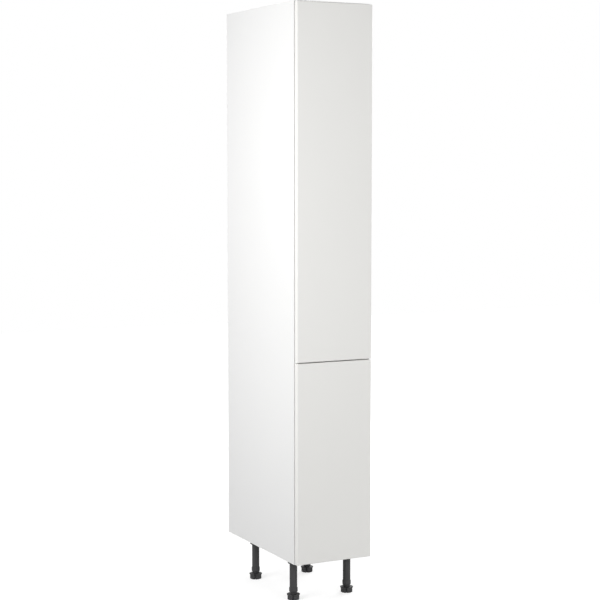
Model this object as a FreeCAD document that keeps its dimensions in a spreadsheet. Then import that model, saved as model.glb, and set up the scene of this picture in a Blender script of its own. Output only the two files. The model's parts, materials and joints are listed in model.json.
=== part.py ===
import FreeCAD, Part
import math
import os
import re

import Sketcher
from FreeCAD import Placement, Rotation, Vector

# A tall 300 mm kitchen larder unit on four adjustable legs. Two slab fronts are fixed to one
# telescopic frame, which pulls out of the carcass with five lift-out trays.
# Origin on the floor under the middle of the unit, +Z up, the fronts towards -Y.

SIZES = {
    # Whole unit
    "unit_width": 300,
    "unit_depth": 580,
    "carcass_height": 1970,
    "leg_height": 150,
    "board": 18,
    "banding": 1,
    # Back: a panel in grooves, with rails in the service void behind it
    "back_thickness": 8,
    "service_void": 26,
    "groove_depth": 8,
    "groove_play": 0.1,
    "panel_play": 0.5,
    "rail_height": 100,
    "housing_depth": 6,
    "housing_play": 0.2,
    "wall_hole_radius": 2.5,
    "wall_hole_spacing": 160,
    "cut_overrun": 2,
    # Dowels between the sides and the top and base
    "dowel_radius": 4,
    "dowel_flute_depth": 0.3,
    "dowel_length": 30,
    "dowel_in_side": 11,
    "dowel_play": 0.15,
    "dowel_end_play": 0.8,
    "dowel_inset": 70,
    # Fronts
    "door_thickness": 18,
    "door_standoff": 2,
    "door_reveal": 2,
    "door_bottom_lift": 1,
    "door_top_reveal": 4,
    "door_gap": 3,
    "lower_door_height": 715,
    "door_edge_radius": 2.5,
    "buffer_size": 8,
    "buffer_play": 0.3,
    "buffer_inset": 9,
    "buffer_end_inset": 40,
    # Legs
    "leg_side_inset": 41,
    "leg_front_inset": 87,
    "leg_rear_inset": 156,
    "socket_radius": 20.5,
    "socket_drop": 17.5,
    "flange_radius": 31,
    "flange_thickness": 3,
    "tube_radius": 14.2,
    "flute_depth": 0.8,
    "tube_socket_play": 0.2,
    "tube_bottom": 21.5,
    "neck_radius": 13.2,
    "neck_height": 5.5,
    "collar_radius": 15.6,
    "collar_height": 16.5,
    "collar_taper": 2,
    "foot_height": 20,
    "foot_radius": 21.4,
    "foot_rim_radius": 24,
    "foot_rim_height": 2.5,
    "foot_flare_height": 2.5,
    "foot_notch_share": 0.2,
    "spindle_radius": 10.2,
    "spindle_play": 0.3,
    "spindle_length": 72,
    # Pull-out frame of rectangular steel tube
    "tube_width": 30,
    "post_depth": 20,
    "tube_wall": 1.5,
    "front_post_gap": 5,
    "rear_post_gap": 21,
    "bottom_beam_height": 45,
    "top_beam_height": 30,
    # Lower runners: three nested channels each side, with ball cages between
    "angle_thickness": 2,
    "angle_foot": 28,
    "runner_lift": 2,
    "runner_rear_gap": 28,
    "runner_setback": 8,
    "runner_height": 45.7,
    "runner_width": 12.7,
    "runner_wall": 1.2,
    "race_gap": 3.2,
    "race_play": 0.3,
    "web_gap": 1,
    "cage_web": 0.4,
    "outer_flange": 10,
    "inner_flange": 7.6,
    "travel_margin": 10,
    # Top guide: a channel under the top panel, with two rollers on the frame
    "guide_inner_width": 24,
    "guide_wall": 2,
    "guide_height": 20,
    "guide_beam_gap": 2,
    "roller_play": 0.3,
    "roller_height": 12,
    "roller_lift": 0.3,
    "roller_spacing": 40,
    "roller_end_inset": 14,
    "axle_radius": 3,
    "axle_play": 0.08,
    # Brackets between the frame and the fronts
    "bracket_thickness": 2,
    "bracket_width": 100,
    "bracket_height": 60,
    "bracket_ear_depth": 20,
    "bracket_end_inset": 100,
    # Trays and the carriers that they hook on
    "tray_side_gap": 14,
    "tray_end_gap": 2.6,
    "tray_corner": 22,
    "tray_height": 90,
    "tray_band_height": 16,
    "tray_top_band_height": 12,
    "tray_steel": 2.5,
    "tray_lip": 6,
    "tray_lip_thickness": 1.5,
    "tray_base_thickness": 12,
    "mat_thickness": 1.5,
    "mat_inset": 1,
    "upright_width": 10,
    "upright_spacing": 130,
    "lowest_tray_clearance": 18,
    "top_tray_clearance": 285,
    "carrier_plate": 2,
    "carrier_lip": 2,
    "carrier_slot": 4.4,
    "carrier_floor": 3,
    "carrier_slot_depth": 11,
    "carrier_plate_rise": 10,
    "hanger_thickness": 3,
    "hanger_top_thickness": 2,
    "hanger_drop": 10,
    "hanger_width": 24,
    "hanger_height": 8,
}

TRAY_LEVELS = 5
LOWER_BRACKETS = 2
UPPER_BRACKETS = 3
FOOT_LOBES = 6
TUBE_FLUTES = 8
DOWEL_FLUTES = 8
COLLAR_SIDES = 12
FLANGE_SIDES = 8
SIDES = {"left": -1, "right": 1}

# Places that follow from the sizes
PLACES = {
    "outer_x": "unit_width / 2",
    "inner_x": "outer_x - board",
    "door_front": "-unit_depth / 2",
    "door_back": "door_front + door_thickness",
    "carcass_front": "door_back + door_standoff",
    "board_front": "carcass_front + banding",
    "rear_face": "unit_depth / 2",
    "back_rear": "rear_face - service_void",
    "back_front": "back_rear - back_thickness",
    "carcass_top": "leg_height + carcass_height",
    "base_top": "leg_height + board",
    "ceiling": "carcass_top - board",
    "dowel_front_y": "board_front + dowel_inset",
    "dowel_rear_y": "back_front - dowel_inset",
    "dowel_inner_end": "inner_x + dowel_in_side - dowel_length",
    "top_rail_z": "ceiling - rail_height / 2",
    "middle_rail_z": "(base_top + ceiling) / 2",
    "bottom_rail_z": "base_top + rail_height / 2",
    "door_half_width": "outer_x - door_reveal",
    "lower_door_bottom": "leg_height + door_bottom_lift",
    "lower_door_top": "lower_door_bottom + lower_door_height",
    "upper_door_bottom": "lower_door_top + door_gap",
    "upper_door_top": "carcass_top - door_top_reveal",
    "leg_x": "outer_x - leg_side_inset",
    "leg_front_y": "carcass_front + leg_front_inset",
    "leg_rear_y": "rear_face - leg_rear_inset",
    "tube_top": "leg_height - flange_thickness",
    "frame_half": "tube_width / 2",
    "tube_inside": "frame_half - tube_wall",
    "runner_bottom": "base_top + angle_thickness + runner_lift",
    "runner_mid_z": "runner_bottom + runner_height / 2",
    "runner_front": "carcass_front + runner_setback",
    "runner_length": "back_front - runner_rear_gap - runner_front",
    "travel": "runner_length - travel_margin",
    "runner_outer_x": "frame_half + runner_width",
    "front_post_front": "door_back + front_post_gap",
    "front_post_rear": "front_post_front + post_depth",
    "rear_post_rear": "back_front - rear_post_gap",
    "rear_post_front": "rear_post_rear - post_depth",
    "bottom_beam_top": "runner_bottom + bottom_beam_height",
    "top_beam_top": "ceiling - guide_height - guide_beam_gap",
    "top_beam_bottom": "top_beam_top - top_beam_height",
    "roller_bottom": "top_beam_top + roller_lift",
    "roller_radius": "guide_inner_width / 2 - roller_play",
    "rear_roller_y": "rear_post_rear - roller_end_inset",
    "front_roller_y": "rear_roller_y - roller_spacing",
    "carrier_depth": "carrier_plate + carrier_slot + carrier_lip",
    "tray_half_width": "inner_x - tray_side_gap",
    "tray_half_length": "(rear_post_front - front_post_rear) / 2 - carrier_depth - tray_end_gap",
    "tray_y": "(front_post_rear + rear_post_front) / 2",
    "lowest_tray_z": "bottom_beam_top + lowest_tray_clearance",
    "highest_tray_z": "top_beam_bottom - top_tray_clearance - tray_height",
    "tray_pitch": f"(highest_tray_z - lowest_tray_z) / {TRAY_LEVELS - 1}",
}

PROPERTIES = {name: "sizes." + name for name in SIZES}
PROPERTIES.update({name: "places." + name for name in PLACES})

doc = FreeCAD.newDocument("larder_unit")
sheet = doc.addObject("Spreadsheet::Sheet", "sizes")
places = doc.addObject("App::VarSet", "places")
nodes = []


def formula(text):
    """Write each size or place in the text as the property that holds it."""
    return re.sub(r"[a-z][a-z_]*", lambda word: PROPERTIES.get(word.group(), word.group()), str(text))


def value(text):
    """The present value of a formula."""
    return float(sheet.evalExpression(formula(text)))


def fill_sheet():
    for row, (name, size) in enumerate(SIZES.items(), start=1):
        sheet.set(f"A{row}", str(size))
        sheet.setAlias(f"A{row}", name)
    doc.recompute()
    for name, text in PLACES.items():
        places.addProperty("App::PropertyFloat", name)
        places.setExpression(name, formula(text))
    doc.recompute()


def bind(thing, **formulas):
    """Bind properties to formulas. A name such as Placement_Base_x stands for Placement.Base.x."""
    for name, text in formulas.items():
        thing.setExpression(name.replace("_", "."), formula(text))
    return thing


def put(thing, x="0", y="0", z="0"):
    """Place an object at formulas for x, y and z."""
    return bind(thing, Placement_Base_x=x, Placement_Base_y=y, Placement_Base_z=z)


def node(thing, label):
    """Name a sub-part, which is written to a file of that name."""
    thing.Label = label
    nodes.append(thing)
    return thing


def new_body(label):
    return doc.addObject("PartDesign::Body", label)


def origin_feature(body, role):
    return next(feature for feature in body.Origin.OriginFeatures if feature.Role == role)


# Outlines. Each is a function that draws itself in a sketch, with its size bound to formulas.


def fix(sketch, dimensions):
    """Add dimensions, each a kind, the places that it measures between and a formula for its size."""
    constraints = [Sketcher.Constraint(kind, *between, value(text)) for kind, between, text in dimensions]
    for index, (kind, between, text) in zip(sketch.addConstraint(constraints), dimensions):
        sketch.setExpression(f"Constraints[{index}]", formula(text))


def from_origin(geometry, point, x, y):
    """The two dimensions that hold a point of a line or circle at x and y."""
    between = (-1, 1, geometry, point)
    return [("DistanceX", between, x), ("DistanceY", between, y)]


def turned(radius, turns):
    """The point at a radius, and at an angle given in whole turns, as a pair of formulas."""
    angle = 2 * math.pi * turns
    return f"({radius}) * {math.cos(angle):.9f}", f"({radius}) * {math.sin(angle):.9f}"


def polygon(*points):
    """A closed outline of straight lines through points given as pairs of formulas."""

    def draw(sketch):
        ends = [Vector(value(x), value(y), 0) for x, y in points]
        lines = sketch.addGeometry([Part.LineSegment(*pair) for pair in zip(ends, ends[1:] + ends[:1])])
        pairs = zip(lines, lines[1:] + lines[:1])
        sketch.addConstraint([Sketcher.Constraint("Coincident", line, 2, after, 1) for line, after in pairs])
        dimensions = []
        for line, (x, y) in zip(lines, points):
            dimensions += from_origin(line, 1, x, y)
        fix(sketch, dimensions)

    return draw


def rectangle(left, right, low, high):
    return polygon((left, low), (right, low), (right, high), (left, high))


def circle(x, y, radius):
    def draw(sketch):
        ring = Part.Circle(Vector(value(x), value(y), 0), Vector(0, 0, 1), value(radius))
        geometry = sketch.addGeometry(ring)
        fix(sketch, [("Radius", (geometry,), radius)] + from_origin(geometry, 3, x, y))

    return draw


def regular(radius, sides):
    """A polygon about the origin with its corners at one radius."""
    return polygon(*[turned(radius, corner / sides) for corner in range(sides)])


def fluted(radius, depth, flutes):
    """A fluted section: a crest and a hollow for each flute."""
    points = []
    for flute in range(flutes):
        points.append(turned(radius, flute / flutes))
        points.append(turned(f"{radius} - {depth}", (flute + 1 / 2) / flutes))
    return polygon(*points)


def lobed(radius, notch_share, lobes):
    """A ring of lobes, with a notch before each one that is a share of the radius deep."""
    shoulder_share = 1 / 7
    points = []
    for lobe in range(lobes):
        points.append(turned(f"{radius} * (1 - {notch_share})", lobe / lobes))
        for share in (shoulder_share, 1 / 2, 1 - shoulder_share):
            points.append(turned(radius, (lobe + share) / lobes))
    return polygon(*points)


def cornered(half_width, half_length, corner):
    """A rectangle about the origin, with each corner taken off at 45 degrees."""
    points = []
    for x_side, y_side in ((1, -1), (1, 1), (-1, 1), (-1, -1)):
        ends = [
            (f"{x_side} * ({half_width} - {corner})", f"{y_side} * {half_length}"),
            (f"{x_side} * {half_width}", f"{y_side} * ({half_length} - {corner})"),
        ]
        points += ends if x_side * y_side < 0 else ends[::-1]
    return polygon(*points)


# Features. A range runs from its low end to its high end along the axis square to the sketch.


def new_sketch(body, plane, place, outlines):
    """A sketch on one of the body's own origin planes, moved along the plane's axis to a place."""
    sketch = body.newObject("Sketcher::SketchObject", "outline")
    sketch.AttachmentSupport = [(origin_feature(body, f"{plane}_Plane"), "")]
    sketch.MapMode = "FlatFace"
    offset = f"-({place})" if plane == "XZ" else place
    sketch.setExpression("AttachmentOffset.Base.z", formula(offset))
    for outline in outlines:
        outline(sketch)
    return sketch


def pad(body, plane, low, high, *outlines):
    """Add the outlines as a prism between two places."""
    start = high if plane == "XZ" else low
    feature = body.newObject("PartDesign::Pad", "pad")
    feature.Profile = new_sketch(body, plane, start, outlines)
    return bind(feature, Length=f"({high}) - ({low})")


def pocket(body, plane, low, high, *outlines):
    """Cut the outlines away between two places."""
    start = low if plane == "XZ" else high
    feature = body.newObject("PartDesign::Pocket", "pocket")
    feature.Profile = new_sketch(body, plane, start, outlines)
    return bind(feature, Length=f"({high}) - ({low})")


def loft(body, *sections):
    """A ruled loft up through pairs of a height and an outline with as many corners each."""
    sketches = [new_sketch(body, "XY", height, [outline]) for height, outline in sections]
    feature = body.newObject("PartDesign::AdditiveLoft", "loft")
    feature.Profile = sketches[0]
    feature.Sections = sketches[1:]
    feature.Ruled = True
    return feature


def draft(body, angle):
    """Slope the sides of the body's last feature inwards from its top face down."""
    doc.recompute()
    base = body.Tip
    faces = {f"Face{i}": face for i, face in enumerate(base.Shape.Faces, start=1)}
    low_to_high = sorted(faces, key=lambda name: faces[name].CenterOfMass.z)
    feature = body.newObject("PartDesign::Draft", "draft")
    feature.Base = (base, low_to_high[1:-1])
    feature.NeutralPlane = (base, low_to_high[-1:])
    feature.Reversed = True
    return bind(feature, Angle=angle)


def fillet(body, radius, wanted):
    """Round the edges of the body's last feature that the function wanted picks."""
    doc.recompute()
    base = body.Tip
    names = [f"Edge{i}" for i, edge in enumerate(base.Shape.Edges, start=1) if wanted(edge)]
    feature = body.newObject("PartDesign::Fillet", "fillet")
    feature.Base = (base, names)
    return bind(feature, Radius=radius)


def box(label, x, y, z):
    """A bar or board between two limits along each axis."""
    made = doc.addObject("Part::Box", label)
    put(made, x[0], y[0], z[0])
    ranges = {"Length": x, "Width": y, "Height": z}
    return bind(made, **{side: f"({high}) - ({low})" for side, (low, high) in ranges.items()})


def placed(piece, x, y, z, turn=0):
    """A repeat of a piece, turned about Z by an angle and moved to formulas for x, y and z."""
    made = doc.addObject("Part::Compound", piece.Name)
    made.Links = [piece]
    made.Placement = Placement(Vector(), Rotation(Vector(0, 0, 1), turn))
    return put(made, x, y, z)


def group(label, pieces):
    """Separate solids of one kind that share a node."""
    made = doc.addObject("Part::Compound", label)
    made.Links = pieces
    return node(made, label)


# Carcass


def dowel_holes(body, side, inner, outer):
    """Blind holes for the four dowels of one side, between two distances from the middle."""
    low, high = (inner, outer) if side > 0 else (f"-({outer})", f"-({inner})")
    for z in ("leg_height + board / 2", "carcass_top - board / 2"):
        holes = [circle(y, z, "dowel_radius + dowel_play") for y in ("dowel_front_y", "dowel_rear_y")]
        pocket(body, "YZ", low, high, *holes)


def side_panel(name, side):
    body = new_body(f"side_panel_{name}")
    low, high = ("inner_x", "outer_x") if side > 0 else ("-outer_x", "-inner_x")
    pad(body, "YZ", low, high, rectangle("board_front", "rear_face", "leg_height", "carcass_top"))
    inner, deep = "inner_x - cut_overrun", "inner_x + groove_depth"
    low, high = (inner, deep) if side > 0 else (f"-({deep})", f"-({inner})")
    groove = rectangle(
        "back_front - groove_play",
        "back_rear + groove_play",
        "leg_height - cut_overrun",
        "carcass_top + cut_overrun",
    )
    pocket(body, "YZ", low, high, groove)
    deep = "inner_x + housing_depth + housing_play"
    low, high = (inner, deep) if side > 0 else (f"-({deep})", f"-({inner})")
    for middle in ("top_rail_z", "middle_rail_z", "bottom_rail_z"):
        housing = rectangle(
            "back_rear",
            "back_rear + board + housing_play",
            f"{middle} - rail_height / 2 - housing_play",
            f"{middle} + rail_height / 2 + housing_play",
        )
        pocket(body, "YZ", low, high, housing)
    dowel_holes(body, side, inner, "inner_x + dowel_in_side + dowel_end_play")
    return node(body, f"side_panel_{name}")


def cross_panel(label, low, high, groove_low, groove_high):
    """The top or the base, with its groove for the back and dowel holes in both ends."""
    body = new_body(label)
    pad(body, "XY", low, high, rectangle("-inner_x", "inner_x", "board_front", "rear_face"))
    groove = rectangle(
        "-inner_x - cut_overrun",
        "inner_x + cut_overrun",
        "back_front - groove_play",
        "back_rear + groove_play",
    )
    pocket(body, "XY", groove_low, groove_high, groove)
    for side in SIDES.values():
        inner, outer = "dowel_inner_end - dowel_end_play", "inner_x + cut_overrun"
        first, last = (inner, outer) if side > 0 else (f"-({outer})", f"-({inner})")
        middle = f"(({low}) + ({high})) / 2"
        holes = [circle(y, middle, "dowel_radius + dowel_play") for y in ("dowel_front_y", "dowel_rear_y")]
        pocket(body, "YZ", first, last, *holes)
    return node(body, label)


def wall_holes(z):
    """The outlines of the two holes for the screws into the wall."""
    return [circle(f"{side} * wall_hole_spacing / 2", z, "wall_hole_radius") for side in SIDES.values()]


def back_panel():
    body = new_body("back_panel")
    edge = "inner_x + groove_depth - panel_play"
    sheet_outline = rectangle(
        f"-({edge})",
        edge,
        "base_top - groove_depth + panel_play",
        "ceiling + groove_depth - panel_play",
    )
    pad(body, "XZ", "back_front", "back_rear", sheet_outline)
    pocket(body, "XZ", "back_front - cut_overrun", "back_rear + cut_overrun", *wall_holes("top_rail_z"))
    return node(body, "back_panel")


def back_rail(label, middle, drilled):
    """A rail behind the back panel, its ends housed in the sides."""
    body = new_body(label)
    end = "inner_x + housing_depth"
    face = rectangle(f"-({end})", end, f"{middle} - rail_height / 2", f"{middle} + rail_height / 2")
    pad(body, "XZ", "back_rear", "back_rear + board", face)
    if drilled:
        rear = "back_rear + board + cut_overrun"
        pocket(body, "XZ", "back_rear - cut_overrun", rear, *wall_holes(middle))
    return node(body, label)


def edge_banding():
    front = ("carcass_front", "board_front")
    strips = [
        box("banding_top", ("-inner_x", "inner_x"), front, ("ceiling", "carcass_top")),
        box("banding_base", ("-inner_x", "inner_x"), front, ("leg_height", "base_top")),
        box("banding_left", ("-outer_x", "-inner_x"), front, ("leg_height", "carcass_top")),
        box("banding_right", ("inner_x", "outer_x"), front, ("leg_height", "carcass_top")),
    ]
    return group("edge_banding", strips)


def wooden_dowels():
    """Fluted dowels, drawn along X from their inner end."""
    dowel = new_body("dowel")
    pad(dowel, "YZ", "0", "dowel_length", fluted("dowel_radius", "dowel_flute_depth", DOWEL_FLUTES))
    dowels = []
    for side, turn in ((-1, 180), (1, 0)):
        for y in ("dowel_front_y", "dowel_rear_y"):
            for z in ("leg_height + board / 2", "carcass_top - board / 2"):
                dowels.append(placed(dowel, f"{side} * dowel_inner_end", y, z, turn))
    return group("wooden_dowels", dowels)


# Legs


def leg_socket():
    """The cup under the base, in one piece with its plate, that the leg's tube pushes into."""
    body = new_body("socket")
    pad(body, "XY", "-flange_thickness", "0", regular("flange_radius", FLANGE_SIDES))
    pad(body, "XY", "-socket_drop", "-flange_thickness", regular("socket_radius", COLLAR_SIDES))
    bore = fluted("(tube_radius + tube_socket_play)", "flute_depth", TUBE_FLUTES)
    pocket(body, "XY", "-socket_drop - cut_overrun", "-flange_thickness", bore)
    return body


def leg_tube():
    """The fluted tube, with a faceted collar over the neck that the foot screws up to."""
    body = new_body("tube")
    collar = regular("collar_radius", COLLAR_SIDES)
    neck_top = "tube_bottom + neck_height"
    taper_top = f"{neck_top} + collar_taper"
    collar_top = f"{neck_top} + collar_height"
    flat_share = math.cos(math.pi / COLLAR_SIDES)
    pad(body, "XY", neck_top, taper_top, collar)
    draft(body, f"atan((collar_radius - neck_radius) * {flat_share:.9f} / collar_taper)")
    pad(body, "XY", taper_top, collar_top, collar)
    pad(body, "XY", collar_top, "tube_top", fluted("tube_radius", "flute_depth", TUBE_FLUTES))
    pad(body, "XY", "tube_bottom", neck_top, regular("neck_radius", COLLAR_SIDES))
    bore = circle("0", "0", "spindle_radius + spindle_play")
    pocket(body, "XY", "tube_bottom - cut_overrun", "tube_top + cut_overrun", bore)
    return body


def leg_foot():
    """The lobed foot with its flared rim, and the spindle that turns in the tube to set the height."""
    body = new_body("foot")
    rim_bottom = "foot_height - foot_rim_height"
    flare_bottom = f"{rim_bottom} - foot_flare_height"
    waist = lobed("foot_radius", "foot_notch_share", FOOT_LOBES)
    rim = lobed("foot_rim_radius", "foot_notch_share", FOOT_LOBES)
    pad(body, "XY", "0", flare_bottom, waist)
    loft(body, (flare_bottom, waist), (rim_bottom, rim))
    pad(body, "XY", rim_bottom, "foot_height", rim)
    pad(body, "XY", "foot_height", "foot_height + spindle_length", circle("0", "0", "spindle_radius"))
    return body


def legs():
    socket, tube, foot = leg_socket(), leg_tube(), leg_foot()
    sockets = []
    rows = {"front": "leg_front_y", "rear": "leg_rear_y"}
    for row, y in rows.items():
        for name, side in SIDES.items():
            x = f"{side} * leg_x"
            sockets.append(placed(socket, x, y, "leg_height"))
            node(placed(tube, x, y, "0"), f"leg_tube_{row}_{name}")
            node(placed(foot, x, y, "0"), f"leg_foot_{row}_{name}")
    return group("leg_sockets", sockets)


# Fronts


def door(label, low, high):
    """A slab front with its front edges rounded."""
    body = new_body(label)
    pad(body, "XZ", "door_front", "door_back", rectangle("-door_half_width", "door_half_width", low, high))
    front = value("door_front")

    def on_front_face(edge):
        return edge.BoundBox.YMax < front + value("door_thickness") / 2

    fillet(body, "door_edge_radius", on_front_face)
    return node(body, label)


def door_buffers():
    """Soft square pads on the backs of the fronts, over the edges of the carcass sides."""
    half = "buffer_size / 2"
    ends = (
        "lower_door_bottom + buffer_end_inset",
        "lower_door_top - buffer_end_inset",
        "upper_door_bottom + buffer_end_inset",
        "upper_door_top - buffer_end_inset",
    )
    pads = []
    for side in SIDES.values():
        x = f"{side} * (outer_x - buffer_inset)"
        for z in ends:
            across_pad, up_pad = (f"{x} - {half}", f"{x} + {half}"), (f"{z} - {half}", f"{z} + {half}")
            pads.append(box("buffer", across_pad, ("door_back", "carcass_front - buffer_play"), up_pad))
    return group("door_buffers", pads)


# Pull-out frame


def post(label, front, rear):
    """An upright of rectangular tube, under the top beam."""
    body = new_body(label)
    outside = rectangle("-frame_half", "frame_half", front, rear)
    inside = rectangle("-tube_inside", "tube_inside", f"{front} + tube_wall", f"{rear} - tube_wall")
    pad(body, "XY", "runner_bottom", "top_beam_bottom", outside, inside)
    return node(body, label)


def beam(label, front, rear, low, high):
    """A beam of rectangular tube along the unit's depth."""
    body = new_body(label)
    outside = rectangle("-frame_half", "frame_half", low, high)
    inside = rectangle("-tube_inside", "tube_inside", f"{low} + tube_wall", f"{high} - tube_wall")
    pad(body, "XZ", front, rear, outside, inside)
    return node(body, label)


def door_bracket():
    """A plate on the back of the front, with two ears that grip the sides of the front post."""
    body = new_body("bracket")
    back = "door_back + bracket_thickness"
    ear_end = "door_back + bracket_ear_depth"
    ear_out = "frame_half + bracket_thickness"
    half = "bracket_width / 2"
    profile = polygon(
        (f"-{half}", "door_back"),
        (half, "door_back"),
        (half, back),
        (ear_out, back),
        (ear_out, ear_end),
        ("frame_half", ear_end),
        ("frame_half", back),
        ("-frame_half", back),
        ("-frame_half", ear_end),
        (f"-({ear_out})", ear_end),
        (f"-({ear_out})", back),
        (f"-{half}", back),
    )
    pad(body, "XY", "-bracket_height / 2", "bracket_height / 2", profile)
    return body


def door_brackets(label, bracket, low, high, count):
    """Brackets spaced evenly up one front."""
    first = f"{low} + bracket_end_inset"
    last = f"{high} - bracket_end_inset"
    steps = count - 1
    middles = [f"({first}) + (({last}) - ({first})) * {step} / {steps}" for step in range(count)]
    return group(label, [placed(bracket, "0", "0", middle) for middle in middles])


# Lower runners, drawn as channels in the XZ plane. Widths are measured from the frame outwards.


def across(side, distance):
    return f"{side} * (frame_half + {distance})"


def channel(label, side, web, tips, half_height, flange_wall, front, length):
    """A channel along Y: its web lies between the two web distances, its flanges reach to tips."""
    body = new_body(label)
    outer_face, inner_face = web
    top, bottom = f"runner_mid_z + ({half_height})", f"runner_mid_z - ({half_height})"
    profile = polygon(
        (across(side, outer_face), bottom),
        (across(side, tips), bottom),
        (across(side, tips), f"{bottom} + {flange_wall}"),
        (across(side, inner_face), f"{bottom} + {flange_wall}"),
        (across(side, inner_face), f"{top} - {flange_wall}"),
        (across(side, tips), f"{top} - {flange_wall}"),
        (across(side, tips), top),
        (across(side, outer_face), top),
    )
    pad(body, "XZ", front, f"{front} + {length}", profile)
    return node(body, label)


def runner_angle(name, side):
    """The folded angle that carries a runner on the base panel."""
    body = new_body(f"runner_angle_{name}")
    wall_in = "runner_outer_x"
    wall_out = "runner_outer_x + angle_thickness"
    profile = polygon(
        (f"{side} * ({wall_in})", "base_top"),
        (f"{side} * ({wall_in} + angle_foot)", "base_top"),
        (f"{side} * ({wall_in} + angle_foot)", "base_top + angle_thickness"),
        (f"{side} * ({wall_out})", "base_top + angle_thickness"),
        (f"{side} * ({wall_out})", "runner_bottom + runner_height"),
        (f"{side} * ({wall_in})", "runner_bottom + runner_height"),
    )
    pad(body, "XZ", "runner_front", "runner_front + runner_length", profile)
    return node(body, f"runner_angle_{name}")


def lower_runner(name, side):
    """Three nested channels, each set in from the last by a row of balls and its wall."""
    wall = "runner_wall"
    middle_half = "runner_height / 2 - runner_wall - race_gap"
    inner_half = "runner_height / 2 - 2 * (runner_wall + race_gap)"
    outer_web = ("runner_width", f"runner_width - {wall}")
    middle_out = f"runner_width - {wall} - web_gap"
    middle_web = (middle_out, f"{middle_out} - {wall}")
    outer_tips = "runner_width - outer_flange"
    whole = ("runner_front", "runner_length")
    channel(f"runner_outer_{name}", side, outer_web, outer_tips, "runner_height / 2", wall, *whole)
    channel(f"runner_middle_{name}", side, middle_web, outer_tips, middle_half, wall, *whole)
    channel(f"runner_inner_{name}", side, ("0", wall), "inner_flange", inner_half, wall, *whole)
    cage_front, cage_length = "runner_front + travel / 4", "runner_length - travel / 2"
    ball_bar = "(race_gap - 2 * race_play)"
    cage_tips = f"{outer_tips} + race_gap / 2"
    for place, half, outside in (
        ("outer", f"{middle_half} + race_gap - race_play", f"runner_width - {wall} - race_play"),
        ("inner", f"{inner_half} + race_gap - race_play", f"{middle_out} - {wall} - race_play"),
    ):
        web = (outside, f"{outside} - cage_web")
        label = f"ball_cage_{place}_{name}"
        channel(label, side, web, cage_tips, half, ball_bar, cage_front, cage_length)


# Top guide


def top_guide_rail():
    """A channel open downwards, fixed under the top panel."""
    body = new_body("top_guide_rail")
    inside = "guide_inner_width / 2"
    outside = "(guide_inner_width / 2 + guide_wall)"
    low = "ceiling - guide_height"
    profile = polygon(
        (f"-{outside}", low),
        (f"-{inside}", low),
        (f"-{inside}", "ceiling - guide_wall"),
        (inside, "ceiling - guide_wall"),
        (inside, low),
        (outside, low),
        (outside, "ceiling"),
        (f"-{outside}", "ceiling"),
    )
    pad(body, "XZ", "runner_front", "runner_front + runner_length", profile)
    return node(body, "top_guide_rail")


def guide_roller(label, y):
    """A roller on an upright axle, between the walls of the guide channel."""
    body = new_body(label)
    bore = circle("0", "0", "axle_radius + axle_play")
    pad(body, "XY", "0", "roller_height", circle("0", "0", "roller_radius"), bore)
    return node(put(body, "0", y, "roller_bottom"), label)


def roller_axle(y):
    axle = doc.addObject("Part::Cylinder", "roller_axle")
    bind(axle, Radius="axle_radius", Height="roller_lift + roller_height + axle_play")
    return put(axle, "0", y, "top_beam_top")


# Trays, each drawn about its own middle with its underside at zero


def tray_loop(inset):
    """The tray's outline, drawn in from its outside by an inset."""
    corner = f"(tray_corner - {2 - math.sqrt(2):.9f} * ({inset}))"
    return cornered(f"(tray_half_width - ({inset}))", f"(tray_half_length - ({inset}))", corner)


def tray_rail():
    """The welded steel gallery: a lipped lower band, uprights, a top band and two hangers."""
    body = new_body("rail")
    steel = "tray_steel"
    top_band = "tray_height - tray_top_band_height"
    pad(body, "XY", "0", "tray_lip_thickness", tray_loop("0"), tray_loop(f"{steel} + tray_lip"))
    pad(body, "XY", "tray_lip_thickness", "tray_band_height", tray_loop("0"), tray_loop(steel))
    half = "upright_width / 2"
    bars = []
    for side in SIDES.values():
        outside, inside = f"{side} * tray_half_width", f"{side} * (tray_half_width - {steel})"
        for step in (-1, 0, 1):
            middle = f"{step} * upright_spacing"
            bars.append(rectangle(inside, outside, f"{middle} - {half}", f"{middle} + {half}"))
        outside, inside = f"{side} * tray_half_length", f"{side} * (tray_half_length - {steel})"
        bars.append(rectangle(f"-{half}", half, inside, outside))
    pad(body, "XY", "tray_band_height", top_band, *bars)
    pad(body, "XY", top_band, "tray_height", tray_loop("0"), tray_loop(steel))
    over_lip = "tray_end_gap + carrier_lip + (carrier_slot - hanger_thickness) / 2"
    for side in SIDES.values():
        root = f"{side} * tray_half_length"
        leg_in = f"{side} * (tray_half_length + {over_lip})"
        leg_out = f"{side} * (tray_half_length + {over_lip} + hanger_thickness)"
        hook = polygon(
            (root, "hanger_height"),
            (leg_in, "hanger_height"),
            (leg_in, "hanger_height - hanger_drop"),
            (leg_out, "hanger_height - hanger_drop"),
            (leg_out, "hanger_height + hanger_top_thickness"),
            (root, "hanger_height + hanger_top_thickness"),
        )
        pad(body, "YZ", "-hanger_width / 2", "hanger_width / 2", hook)
    return body


def tray_base():
    """The board that lies on the lower band's lip."""
    body = new_body("base")
    low, high = "tray_lip_thickness", "tray_lip_thickness + tray_base_thickness"
    pad(body, "XY", low, high, tray_loop("tray_steel"))
    return body


def tray_mat():
    """The anti-slip mat on the board."""
    body = new_body("mat")
    low = "tray_lip_thickness + tray_base_thickness"
    pad(body, "XY", low, f"{low} + mat_thickness", tray_loop("tray_steel + mat_inset"))
    return body


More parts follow.
